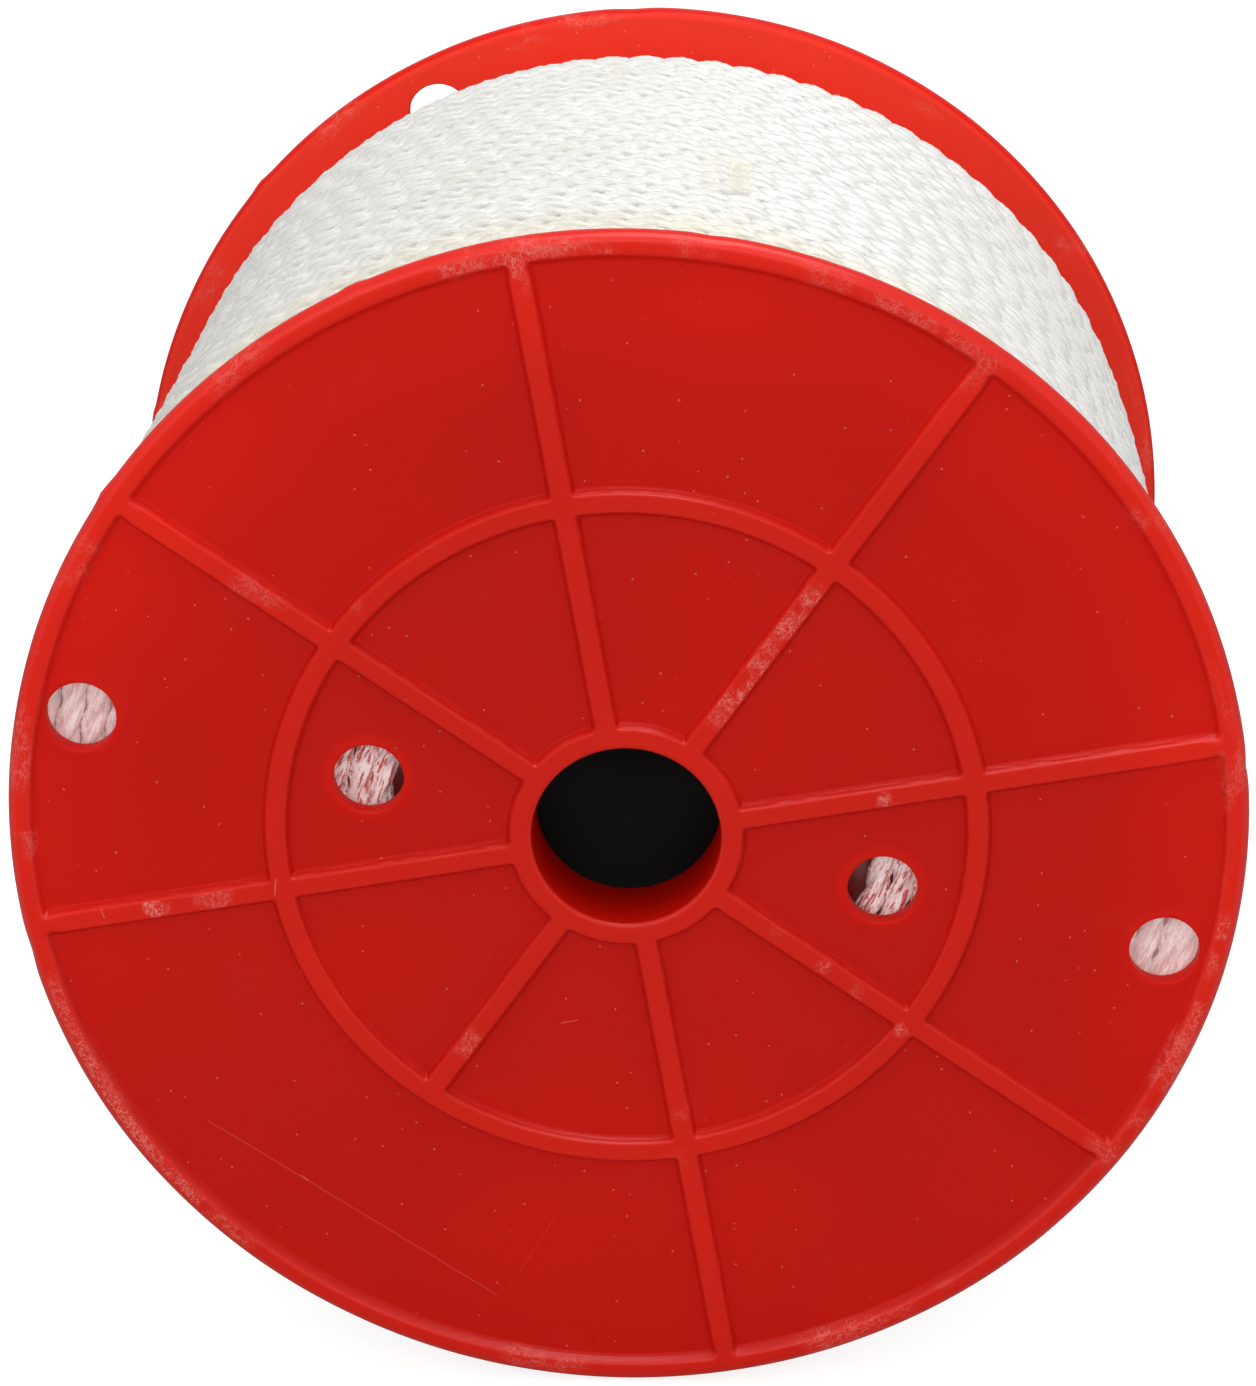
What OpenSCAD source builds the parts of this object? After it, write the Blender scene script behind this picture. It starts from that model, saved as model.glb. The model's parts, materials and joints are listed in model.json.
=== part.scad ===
// Reel of laid cord: two moulded flanges on a core tube, with the cord wound between them.
// Millimetres. The reel lies on its rims with its axis along Y and its front flange towards -Y.
// The origin is on the axis, halfway between the outer faces of the two flanges.

/* [Reel] */
// Outside diameter of both flanges
flange_d = 105; // [90:1:160]
// Width over the outer faces of both flanges
reel_w = 90; // [60:1:160]
// Diameter of the bore that a shaft passes through
bore_d = 16; // [12:0.5:20]

/* [Flange face] */
// Thickness of the flat plate
plate_t = 1.6; // [1.2:0.1:2.4]
// Height of ribs and rings above the plate
relief_h = 0.8; // [0.4:0.1:1.4]
// Radial width of the rolled rim
rim_w = 2.2; // [1.8:0.1:4]
// Rounding of the rim's edges
rim_round = 1; // [0.4:0.1:1.2]
// Width of the ring round the bore
hub_ring_w = 2; // [1.4:0.1:3]
// Middle diameter of the ring between hub and rim
mid_ring_d = 59.4; // [56:0.2:66]
// Width of that ring
mid_ring_w = 2; // [1.4:0.1:3]
// Width of each rib
rib_w = 1.9; // [1.4:0.1:3]
// Rounding along the top edges of ribs and rings
edge_round = 0.4; // [0.2:0.05:0.6]
// Spokes on each flange, one of which stops at the middle ring
rib_count = 8; // [6:2:12]

/* [Flange holes] */
// Diameter of the four round holes in each flange
hole_d = 6; // [3:0.5:8]
// Circle through the two inner holes
inner_hole_pcd = 44.6; // [44:0.2:47]
// Circle through the two outer holes
outer_hole_pcd = 94; // [82:0.5:94]
// Width of the low lip round each hole
hole_lip_w = 0.7; // [0.4:0.1:1]
// Height of that lip above the plate
hole_lip_h = 0.15; // [0.1:0.05:0.3]

/* [Hub] */
// Depth of the bore wall from the outer face
sleeve_depth = 8; // [4:0.2:12]
// Wall of the sleeve behind the hub ring
sleeve_wall = 1.6; // [1.2:0.1:2]
// Length of the socket ring that enters the core tube
spigot_len = 7; // [4:0.5:12]
// Wall of the socket ring
spigot_wall = 1.5; // [1.2:0.1:2]
// Webs between the sleeve and the socket ring
web_count = 4; // [3:1:8]
// Thickness of those webs
web_t = 1.2; // [0.8:0.1:2]
// Chamfer at the free end of the socket ring
spigot_lead = 0.6; // [0.2:0.1:1]

/* [Core tube] */
// Outside diameter of the tube that the cord is wound on
core_d = 38; // [34:0.5:38]
// Wall of the tube
core_wall = 1.8; // [1.2:0.1:2.4]
// Gap between the socket ring and the tube, on the radius
spigot_gap = 0.1; // [0.05:0.05:0.3]

/* [String] */
// Diameter of the winding between its shoulders
winding_d = 100; // [84:0.5:100]
// Fall of the winding at the front flange, on the radius
front_drop = 0.8; // [0:0.1:5]
// Fall of the winding at the rear flange, on the radius
rear_drop = 2.8; // [0:0.1:5]
// Distance over which it falls
shoulder_w = 12; // [4:0.5:16]
// Gap between the winding and each flange
winding_gap = 0.2; // [0.1:0.05:0.6]
// Gap between the winding and the core tube, on the radius
core_gap = 0.1; // [0.05:0.05:0.3]

/* [End tape] */
// Length of the tape along the reel
tape_l = 12; // [8:0.5:16]
// Width of the tape round the winding
tape_w = 4.4; // [3:0.2:8]
// Thickness of the tape
tape_t = 0.2; // [0.15:0.05:0.4]
// Distance from the front face to the middle of the tape
tape_from_front = 32.5; // [24:0.5:36]
// Place of the tape round the winding, in degrees from the right-hand side
tape_angle = 81; // [60:1:120]
// Gap between the tape and the crowns of the winding
tape_gap = 0.05; // [0.02:0.01:0.1]

/* [Placing] */
// Turn of the front flange, in degrees, of its line of holes
front_turn = -12.5; // [-180:0.5:180]
// Turn of the rear flange, in degrees, of its line of holes
rear_turn = 63; // [-180:0.5:180]

/* [Hidden] */
$fn = 96;
eps = 0.01;

flange_r = flange_d / 2;
flange_t = plate_t + relief_h;
inner_w = reel_w - 2 * flange_t;
hub_ring_r = bore_d / 2 + hub_ring_w;
mid_ring_r = mid_ring_d / 2;
rib_step = 360 / rib_count;
first_rib = rib_step / 2;
short_rib = floor(rib_count * 5 / 8);
core_bore_r = core_d / 2 - core_wall;
spigot_r = core_bore_r - spigot_gap;
winding_r = winding_d / 2;
winding_w = inner_w - 2 * winding_gap;
winding_bore_r = core_d / 2 + core_gap;
tape_bore_r = winding_r + tape_gap;
tape_sweep = 360 * tape_w / (PI * winding_d);

// Profile of a bar that stands on y = 0 with both upper edges rounded
module rounded_bar(w, h, round) {
    r = min(round, h, w / 2);
    translate([-w / 2, 0]) square([w, h - r]);
    translate([-w / 2 + r, 0]) square([w - 2 * r, h]);
    for (side = [-1, 1])
        translate([side * (w / 2 - r), h - r]) circle(r = r, $fn = 24);
}

// Ring of rounded section, raised on the plate
module raised_ring(r, w) {
    translate([0, 0, plate_t - eps])
        rotate_extrude()
            translate([r, 0]) rounded_bar(w, relief_h + eps, edge_round);
}

// Rib from one radius to another along the local X axis, raised on the plate
module rib(from_r, to_r) {
    translate([from_r, 0, plate_t - eps])
        rotate([90, 0, 90])
            linear_extrude(to_r - from_r)
                rounded_bar(rib_w, relief_h + eps, edge_round);
}

// Rolled rim: rounded over at the front, rear and outside
module rim() {
    r = min(rim_round, 0.45 * flange_t, 0.45 * rim_w);
    rotate_extrude() {
        translate([flange_r - rim_w, r]) square([rim_w, flange_t - 2 * r]);
        translate([flange_r - rim_w + r, 0]) square([rim_w - 2 * r, flange_t]);
        for (x = [flange_r - rim_w + r, flange_r - r], y = [r, flange_t - r])
            translate([x, y]) circle(r = r, $fn = 48);
    }
}

// One flange: inner face on z = 0, ribbed outer face towards +Z, holes along the local X axis
module flange() {
    rib_end = flange_r - rim_w / 2;
    difference() {
        union() {
            cylinder(r = flange_r - rim_w / 2, h = plate_t);
            rim();
            raised_ring(mid_ring_r, mid_ring_w);
            raised_ring(hub_ring_r - hub_ring_w / 2, hub_ring_w);
            for (i = [0 : rib_count - 1])
                rotate([0, 0, first_rib + i * rib_step])
                    rib(hub_ring_r - hub_ring_w / 2, i == short_rib ? mid_ring_r : rib_end);
            hole_places() cylinder(d = hole_d + 2 * hole_lip_w, h = plate_t + hole_lip_h);
            hub_socket();
        }
        translate([0, 0, flange_t - sleeve_depth - 1]) cylinder(d = bore_d, h = sleeve_depth + 2);
        hole_places() translate([0, 0, -1]) cylinder(d = hole_d, h = flange_t + 2);
    }
}

// Children at the four holes of a flange
module hole_places() {
    for (x = [-outer_hole_pcd, -inner_hole_pcd, inner_hole_pcd, outer_hole_pcd] / 2)
        translate([x, 0, 0]) children();
}

// Sleeve, webs and socket ring on the inner side, below z = 0
module hub_socket() {
    sleeve_len = sleeve_depth - flange_t;
    sleeve_r = bore_d / 2 + sleeve_wall;
    web_len = spigot_r - spigot_wall / 2 - bore_d / 2 - sleeve_wall / 2;
    translate([0, 0, -sleeve_len]) cylinder(r = sleeve_r, h = sleeve_len + eps);
    rotate_extrude()
        polygon([
            [spigot_r - spigot_wall, eps],
            [spigot_r, eps],
            [spigot_r, spigot_lead - spigot_len],
            [spigot_r - spigot_lead, -spigot_len],
            [spigot_r - spigot_wall, -spigot_len]
        ]);
    for (i = [0 : web_count - 1])
        rotate([0, 0, i * 360 / web_count])
            translate([bore_d / 2 + sleeve_wall / 2, -web_t / 2, -sleeve_len])
                cube([web_len, web_t, sleeve_len + eps]);
}

module front_flange() {
    color([0.80, 0.11, 0.08])
        translate([0, -inner_w / 2, 0]) rotate([90, 0, 0])
            rotate([0, 0, front_turn]) flange();
}

module rear_flange() {
    color([0.80, 0.11, 0.08])
        translate([0, inner_w / 2, 0]) rotate([-90, 0, 0])
            rotate([0, 0, rear_turn]) flange();
}

// Tube between the inner faces, seated over both socket rings
module core_tube() {
    color([0.55, 0.08, 0.06])
        rotate([90, 0, 0])
            difference() {
                cylinder(d = core_d, h = inner_w, center = true);
                cylinder(r = core_bore_r, h = inner_w + 2, center = true);
            }
}

// The wound cord as one closed ring, highest between its shoulders
module string_winding() {
    half = winding_w / 2;
    color([0.93, 0.92, 0.89])
        rotate([90, 0, 0])
            rotate_extrude()
                polygon([
                    [winding_bore_r, -half],
                    [winding_r - rear_drop, -half],
                    [winding_r - rear_drop * 0.3, shoulder_w * 0.55 - half],
                    [winding_r, shoulder_w - half],
                    [winding_r, half - shoulder_w],
                    [winding_r - front_drop * 0.3, half - shoulder_w * 0.55],
                    [winding_r - front_drop, half],
                    [winding_bore_r, half]
                ]);
}

// Short strip along the reel that holds the cord's end
module end_tape() {
    color([0.86, 0.84, 0.62])
        translate([0, tape_from_front - reel_w / 2 + tape_l / 2, 0])
            rotate([90, 0, 0])
                rotate([0, 0, tape_angle - tape_sweep / 2])
                    rotate_extrude(angle = tape_sweep)
                        translate([tape_bore_r, 0]) square([tape_t, tape_l]);
}

front_flange();
rear_flange();
core_tube();
string_winding();
end_tape();
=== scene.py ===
"""String reel: two ribbed flanges on a core tube, wound full of white laid cord.

Each operator builds one piece, or one group of like pieces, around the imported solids.
"""

import functools
import json
import math

import bmesh
import bpy
import numpy as np
from bpy.props import FloatProperty, FloatVectorProperty, IntProperty, PointerProperty
from bpy.types import Operator, Panel, PropertyGroup
from mathutils import Matrix, Vector, geometry, kdtree


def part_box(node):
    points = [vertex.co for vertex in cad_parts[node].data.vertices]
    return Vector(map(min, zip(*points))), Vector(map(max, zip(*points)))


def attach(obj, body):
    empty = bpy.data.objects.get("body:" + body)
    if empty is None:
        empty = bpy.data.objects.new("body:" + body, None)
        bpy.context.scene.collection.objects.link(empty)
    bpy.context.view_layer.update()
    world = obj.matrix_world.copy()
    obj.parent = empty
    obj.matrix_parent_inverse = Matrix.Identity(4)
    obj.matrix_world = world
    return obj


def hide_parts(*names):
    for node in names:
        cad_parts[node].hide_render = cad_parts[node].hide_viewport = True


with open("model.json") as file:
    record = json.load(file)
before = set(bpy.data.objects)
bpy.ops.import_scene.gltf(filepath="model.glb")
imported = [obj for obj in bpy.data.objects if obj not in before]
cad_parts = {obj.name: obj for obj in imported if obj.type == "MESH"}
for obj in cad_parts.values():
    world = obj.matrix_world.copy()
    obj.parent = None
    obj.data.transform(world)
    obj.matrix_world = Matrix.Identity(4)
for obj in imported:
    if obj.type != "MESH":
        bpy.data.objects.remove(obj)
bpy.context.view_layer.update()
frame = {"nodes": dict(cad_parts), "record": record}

bl_info = {
    "name": "String Reel",
    "version": (1, 0, 0),
    "blender": (4, 5, 0),
    "location": "3D View > Sidebar > String Reel",
    "description": "Builds a moulded reel wound with laid cord, and its studio stage",
    "category": "Object",
}

MM = 0.001
BODY = "root"

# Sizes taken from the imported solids, in metres
FLANGE_LOW, FLANGE_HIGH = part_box("front_flange")
_, STRING_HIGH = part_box("string_winding")
TAPE_LOW, TAPE_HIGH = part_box("end_tape")
_, CORE_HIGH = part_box("core_tube")
MOUNTS = {m["name"]: m for m in frame["record"]["mounts"]}
FLANGE_RADIUS = FLANGE_HIGH.x
HALF_WIDTH = -FLANGE_LOW.y
CORE_HALF = CORE_HIGH.y
CORE_RADIUS = CORE_HIGH.x
BORE_RADIUS = MOUNTS["shaft_bore"]["dims"]["r_mm"] * MM
FLANGE_THICKNESS = HALF_WIDTH - CORE_HALF
HUB_DEPTH = FLANGE_HIGH.y + CORE_HALF
STRING_HALF = STRING_HIGH.y
STRING_RADIUS = STRING_HIGH.x


# ---------------------------------------------------------------- settings


def length(name, description, default, low=0.0, high=1.0):
    """A size in metres."""
    return FloatProperty(
        name=name, description=description, default=default, min=low, max=high,
        precision=5, unit="LENGTH", subtype="DISTANCE",
    )


def turn(name, description, degrees):
    """An angle, shown in degrees."""
    return FloatProperty(
        name=name, description=description, default=math.radians(degrees),
        unit="ROTATION", subtype="ANGLE",
    )


def colour(name, description, default):
    """A linear colour."""
    return FloatVectorProperty(
        name=name, description=description, default=default, size=3,
        min=0.0, max=1.0, subtype="COLOR",
    )


def share(name, description, default):
    """A share from 0 to 1."""
    return FloatProperty(
        name=name, description=description, default=default, min=0.0, max=1.0,
        subtype="FACTOR",
    )


def power(name, description, default):
    """A lamp's power."""
    return FloatProperty(
        name=name, description=description, default=default, min=0.0, unit="POWER",
    )


class StringReelFlange(PropertyGroup):
    """Sizes and finish of the moulded flanges."""

    relief: length("Relief", "Height of ribs and rings above the plate", 0.8 * MM)
    rim_width: length("Rim width", "Radial width of the rolled rim", 2.2 * MM)
    rim_round: length("Rim round", "Rounding of the rim's outer edges", 1.0 * MM)
    rim_side: length("Rim side", "Width of the rim's sloping inner side", 0.85 * MM)
    rib_width: length("Rib width", "Width of each rib", 2.0 * MM)
    hub_ring: length("Hub ring", "Width of the ring round the bore", 2.0 * MM)
    ring_radius: length("Middle ring", "Middle radius of the middle ring", 29.7 * MM)
    ring_width: length("Ring width", "Width of the middle ring", 2.0 * MM)
    rib_side: length("Rib side", "Width of a rib's sloping side", 0.62 * MM)
    corner_round: length("Corner round", "Fillet in each pocket's corners", 0.22 * MM)
    hole_radius: length("Hole radius", "Radius of the four round holes", 3.0 * MM)
    inner_hole: length("Inner holes", "Distance of the inner holes from the axis", 22.3 * MM)
    outer_hole: length("Outer holes", "Distance of the outer holes from the axis", 47.0 * MM)
    lip_height: length("Lip height", "Height of the lip round each hole", 0.07 * MM)
    sleeve_wall: length("Sleeve wall", "Wall of the sleeve behind the hub ring", 1.6 * MM)
    sleeve_depth: length("Sleeve depth", "Depth of the bore wall", 8.0 * MM)
    spigot_radius: length("Spigot radius", "Outside radius of the socket ring", 17.1 * MM)
    spigot_wall: length("Spigot wall", "Wall of the socket ring", 1.5 * MM)
    web_thickness: length("Web", "Thickness of the hub's webs", 1.2 * MM)
    rib_count: IntProperty(name="Ribs", description="Spokes on a flange", default=8, min=4, max=16)
    front_turn: turn("Front turn", "Turn of the front flange's line of holes", -12.5)
    rear_turn: turn("Rear turn", "Turn of the rear flange's line of holes", 63.0)
    plastic: colour("Plastic", "Colour of the moulded plastic", (0.57, 0.0062, 0.0013))
    rubbed: colour(
        "Raised skin", "Colour of ribs and rings, polished by handling", (0.67, 0.0138, 0.0052),
    )
    # Painted light: the inner faces get a brighter colour than the plastic, standing in for light
    # from above and off the white cord
    inner: colour("Inner skin", "Colour of the smooth inner faces", (0.72, 0.028, 0.013))
    # Painted light: how much the colour is brightened where thin plastic passes light from behind
    thin_glow: share("Thin glow", "How much brighter thin plastic looks, lit from behind", 0.17)
    # Painted shade: the core gets a near-black colour for the shade deep inside the bore
    core: colour("Core", "Colour of the core tube", (0.02, 0.0055, 0.0045))
    gloss: share("Gloss", "How strongly the moulded skin reflects", 0.13)
    edge_gloss: share("Edge gloss", "How much more the worn edges of ribs and rings reflect", 0.22)
    scuff_colour: colour("Scuffs", "Colour of rubbed plastic", (0.84, 0.22, 0.18))
    dust_colour: colour("Dust", "Colour of dust on the plastic", (0.75, 0.3, 0.25))
    roughness: share("Roughness", "Roughness of the moulded skin", 0.42)
    wear: share("Wear", "How far rubbed patches spread", 0.5)


class StringReelString(PropertyGroup):
    """Sizes and finish of the wound cord."""

    diameter: length("Diameter", "Diameter of the laid cord", 2.3 * MM)
    lay: length("Lay", "Length of one full turn of the strands", 9.73 * MM)
    pitch: length("Pitch", "Distance between neighbouring turns", 2.29 * MM)
    front_drop: length("Front drop", "Fall of the winding at the front flange", 0.3 * MM)
    rear_drop: length("Rear drop", "Fall of the winding at the rear flange", 3.1 * MM)
    shoulder_width: length("Shoulder width", "Distance over which it falls", 12.0 * MM)
    groove: share("Groove", "Depth of the grooves between strands, in cord radii", 0.36)
    layer_step: length("Layer step", "Radial distance between layers", 1.95 * MM)
    sway: length("Sway", "How far the turns wander along the reel", 0.5 * MM)
    unevenness: length("Unevenness", "How far the turns rise and fall", 0.3 * MM)
    samples: IntProperty(name="Samples", description="Steps in one lay", default=12, min=6, max=24)
    white: colour("White", "Colour of the cord", (0.84, 0.83, 0.8))
    # Cream of yellowed cord; near the front flange it also serves as painted shade
    aged: colour("Aged", "Colour of the cord where it has yellowed", (0.84, 0.81, 0.7))
    # Painted light and shade on the turns against the flanges: a pink tint and a red between
    # strands for red light off the flanges, a dark colour for shade in the gaps, and a glow for
    # light through the flanges
    flange_red_light: colour("Blush", "Colour of the cord that lies against a red flange", (0.95, 0.82, 0.8))
    red_glow: colour("Red glow", "Colour between its strands there", (0.55, 0.06, 0.055))
    gap: colour("Gaps", "Colour of the gaps between the turns there", (0.16, 0.015, 0.013))
    end_light: share("End light", "Light that reaches the end turns through the flanges", 0.15)
    roughness: share("Roughness", "Roughness of the filaments", 0.25)


class StringReelTape(PropertyGroup):
    """Finish of the strip that holds the cord's end."""

    thickness: length("Thickness", "Thickness of the tape", 0.09 * MM)
    yellow: colour("Yellow", "Colour of the aged tape", (1.0, 0.96, 0.74))
    pale: colour("Pale", "Colour of the tape where it has clouded", (0.95, 0.94, 0.8))
    opacity: share("Opacity", "How much the tape hides the cord", 0.05)
    doubled: share("Doubled", "How much it hides where it is folded double", 0.26)


class StringReelStage(PropertyGroup):
    """Floor, lamps and camera."""

    camera_place: FloatVectorProperty(
        name="Camera", description="Place of the camera", size=3, unit="LENGTH",
        subtype="XYZ", default=(0.00927, -0.36793, 0.13644), precision=5,
    )
    camera_aim: FloatVectorProperty(
        name="Aim", description="Direction that the camera looks in", size=3,
        subtype="XYZ", default=(-0.02634, 0.93386, -0.35666), precision=5,
    )
    lens: FloatProperty(name="Lens", description="Focal length", default=107.8, min=20.0, max=300.0)
    floor_colour: colour("Floor", "Colour of the floor", (0.5, 0.5, 0.5))
    key_power: power("Key lamp", "Power of the lamp above", 1.12)
    fill_power: power("Fill lamp", "Power of the lamp in front", 3.5)
    sky: FloatProperty(name="Sky", description="Strength of the even light", default=0.65, min=0.0)


# ---------------------------------------------------------------- node helpers


class Sketch:
    """Adds and joins nodes in one tree."""

    def __init__(self, tree):
        self.tree = tree

    def fill(self, socket, value):
        """Links a value to a socket, or sets it on the socket."""
        if isinstance(value, bpy.types.NodeSocket):
            self.tree.links.new(value, socket)
        else:
            socket.default_value = value

    def node(self, kind, inputs=None, **settings):
        """A new node with its settings, and its inputs filled by name or number."""
        made = self.tree.nodes.new(kind)
        for name, value in settings.items():
            setattr(made, name, value)
        for key, value in (inputs or {}).items():
            self.fill(made.inputs[key], value)
        return made

    def math(self, operation, *values, clamp=False):
        """The result of a Math node."""
        settings = {"operation": operation, "use_clamp": clamp}
        return self.node("ShaderNodeMath", dict(enumerate(values)), **settings).outputs[0]

    def times(self, *values):
        """The product of numbers."""
        return functools.reduce(functools.partial(self.math, "MULTIPLY"), values)

    def plus(self, *values):
        """The sum of numbers."""
        return functools.reduce(functools.partial(self.math, "ADD"), values)

    def most(self, *values):
        """The greatest of numbers."""
        return functools.reduce(functools.partial(self.math, "MAXIMUM"), values)

    def minus(self, a, b):
        """One number less another."""
        return self.math("SUBTRACT", a, b)

    def vector(self, operation, *values):
        """The result of a Vector Math node, its number if it has one."""
        made = self.node("ShaderNodeVectorMath", dict(enumerate(values)), operation=operation)
        number = operation in ("LENGTH", "DISTANCE", "DOT_PRODUCT")
        return made.outputs["Value" if number else "Vector"]

    def scaled(self, vector, factor):
        """A vector or colour times a number."""
        inputs = {"Vector": vector, "Scale": factor}
        return self.node("ShaderNodeVectorMath", inputs, operation="SCALE").outputs["Vector"]

    def split(self, vector):
        """The three numbers of a vector."""
        return self.node("ShaderNodeSeparateXYZ", {0: vector}).outputs

    def joined(self, x=0.0, y=0.0, z=0.0):
        """A vector from three numbers."""
        return self.node("ShaderNodeCombineXYZ", {0: x, 1: y, 2: z}).outputs[0]

    def range(self, value, low, high, start=0.0, end=1.0, smooth=True):
        """A value moved from one range to another, clamped."""
        made = self.node(
            "ShaderNodeMapRange",
            {"Value": value, "From Min": low, "From Max": high, "To Min": start, "To Max": end},
            interpolation_type="SMOOTHSTEP" if smooth else "LINEAR", clamp=True,
        )
        return made.outputs["Result"]

    def noise(self, vector, scale, detail=2.0, roughness=0.5):
        """Noise between 0 and 1."""
        inputs = {"Vector": vector, "Scale": scale, "Detail": detail, "Roughness": roughness}
        return self.node("ShaderNodeTexNoise", inputs).outputs["Fac"]

    def mix(self, factor, a, b):
        """Two colours mixed."""
        return self.node("ShaderNodeMix", {0: factor, 6: a, 7: b}, data_type="RGBA").outputs[2]

    def bump(self, height, strength, distance):
        """The normal that a height gives."""
        inputs = {"Height": height, "Strength": strength, "Distance": distance}
        return self.node("ShaderNodeBump", inputs).outputs[0]

    def place(self):
        """Place on the object, in millimetres."""
        return self.scaled(self.node("ShaderNodeTexCoord").outputs["Object"], 1 / MM)

    def effect(self, group, **inputs):
        """The outputs of a shared group, placed with its own values."""
        inputs = {name.replace("_", " "): value for name, value in inputs.items()}
        return self.node("ShaderNodeGroup", inputs, node_tree=group).outputs


def shared(name, kind, inputs, outputs):
    """Makes a function that draws a group's nodes into one that builds the group once."""

    def keep(draw):
        @functools.wraps(draw)
        def built():
            if name in bpy.data.node_groups:
                return bpy.data.node_groups[name]
            group = bpy.data.node_groups.new(name, kind)
            sockets = [("INPUT", *row) for row in inputs]
            sockets += [("OUTPUT", *row, None) for row in outputs]
            for side, label, socket, default in sockets:
                item = group.interface.new_socket(
                    name=label, in_out=side, socket_type="NodeSocket" + socket,
                )
                if default is not None:
                    item.default_value = default
            s = Sketch(group)
            s.node("NodeGroupOutput", draw(s, s.node("NodeGroupInput").outputs))
            return group

        return built

    return keep


def rgba(rgb):
    """A colour with its alpha."""
    return (*rgb, 1.0)


# ---------------------------------------------------------------- shared effects


@shared(
    "Reel Place", "ShaderNodeTree", [("Vector", "Vector", None), ("Plate", "Float", 44.2)],
    [("Radius", "Float"), ("Round", "Float"), ("Height", "Float")],
)
def reel_place(s, given):
    """Distance from the axis, length round it near the rim, and height above a flange's plate."""
    x, y, z = s.split(given["Vector"])
    return {
        "Radius": s.math("SQRT", s.plus(s.times(x, x), s.times(z, z))),
        "Round": s.times(s.math("ARCTAN2", z, x), 50.0),
        "Height": s.minus(s.math("ABSOLUTE", y), given["Plate"]),
    }


@shared(
    "Scuffs", "ShaderNodeTree",
    [("Vector", "Vector", None), ("Patch Scale", "Float", 0.1), ("Mark Scale", "Float", 0.95),
     ("Coverage", "Float", 0.5)],
    [("Mask", "Float"), ("Marks", "Float")],
)
def scuffs(s, given):
    """Rubbed patches: a broad mask broken up into fine marks."""
    vector = given["Vector"]
    low = s.minus(0.72, s.times(given["Coverage"], 0.3))
    broad = s.range(s.noise(vector, given["Patch Scale"], 2.0, 0.55), low, s.plus(low, 0.1))
    hairs = []
    for shift, factor in ((0.0, 1.0), (7.0, 1.8)):
        moved = s.vector("ADD", vector, (shift, 3.0, 0.0))
        field = s.noise(moved, s.times(given["Mark Scale"], factor), 3.0, 0.6)
        hairs.append(s.range(s.math("ABSOLUTE", s.minus(field, 0.5)), 0.03, 0.008))
    haze = s.noise(vector, s.times(given["Mark Scale"], 0.4))
    fine = s.times(s.range(haze, 0.32, 0.5), s.most(*hairs, 0.12))
    return {"Mask": s.times(broad, fine), "Marks": fine}


@shared(
    "Spot", "ShaderNodeTree",
    [("Vector", "Vector", None), ("Centre", "Vector", None), ("Radius", "Float", 2.0),
     ("Softness", "Float", 1.0)],
    [("Mask", "Float")],
)
def spot(s, given):
    """A soft round area at one place, in millimetres."""
    away = s.vector("DISTANCE", given["Vector"], given["Centre"])
    return {"Mask": s.range(away, s.plus(given["Radius"], given["Softness"]), given["Radius"])}


@shared(
    "Scratch", "ShaderNodeTree",
    [("Vector", "Vector", None), ("Start", "Vector", None), ("End", "Vector", None),
     ("Width", "Float", 0.08), ("Breakup", "Float", 0.3)],
    [("Mask", "Float")],
)
def scratch(s, given):
    """A thin mark between two places, in millimetres, faded here and there."""
    vector, start, width = given["Vector"], given["Start"], given["Width"]
    wander = s.node("ShaderNodeTexNoise", {"Vector": vector, "Scale": 0.35, "Detail": 1.0})
    shift = s.scaled(s.vector("SUBTRACT", wander.outputs["Color"], (0.5, 0.5, 0.5)), 0.12)
    place = s.vector("ADD", vector, shift)
    along = s.vector("SUBTRACT", given["End"], start)
    reach = s.vector("SUBTRACT", place, start)
    part = s.math(
        "DIVIDE", s.vector("DOT_PRODUCT", reach, along), s.vector("DOT_PRODUCT", along, along),
        clamp=True,
    )
    away = s.vector("DISTANCE", place, s.vector("ADD", start, s.scaled(along, part)))
    line = s.range(away, width, s.times(width, 0.3))
    kept = s.range(s.noise(vector, 0.6, 3.0, 0.6), given["Breakup"], s.plus(given["Breakup"], 0.15))
    return {"Mask": s.times(line, kept)}


@shared(
    "Dust", "ShaderNodeTree",
    [("Vector", "Vector", None), ("Scale", "Float", 0.75), ("Size", "Float", 0.075),
     ("Amount", "Float", 0.45)],
    [("Mask", "Float")],
)
def dust(s, given):
    """Specks of dust and pale flecks."""
    cells = s.node(
        "ShaderNodeTexVoronoi", {"Vector": given["Vector"], "Scale": given["Scale"]}, feature="F1",
    ).outputs
    chosen = s.node("ShaderNodeSeparateColor", {0: cells["Color"]}).outputs
    size = s.times(given["Size"], s.plus(chosen[1], 0.4))
    speck = s.range(cells["Distance"], size, s.times(size, 0.4))
    return {"Mask": s.times(speck, s.math("LESS_THAN", chosen[0], given["Amount"]))}


def cleared(owner):
    """A sketch of a material's or world's tree, emptied."""
    owner.use_nodes = True
    owner.node_tree.nodes.clear()
    return Sketch(owner.node_tree)


def new_material(name, **fixed):
    """A material, its sketch and its shader's inputs, with some of them fixed."""
    material = bpy.data.materials.new(name)
    s = cleared(material)
    shader = s.node("ShaderNodeBsdfPrincipled")
    s.node("ShaderNodeOutputMaterial", {"Surface": shader.outputs["BSDF"]})
    for socket, value in fixed.items():
        shader.inputs[socket.replace("_", " ")].default_value = value
    return material, s, shader.inputs


# ---------------------------------------------------------------- finishes

# Heights above the plate, in millimetres, over which parts of the relief begin or end
FOOT = (0.08, 0.25)
SIDE = (0.3, 0.7)
CREST = (0.72, 0.79)
# Distances from the axis, in millimetres, over which the rim and the bore's wall begin
RIM = (49.8, 50.6)
BORE = (9.0, 8.6)
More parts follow.
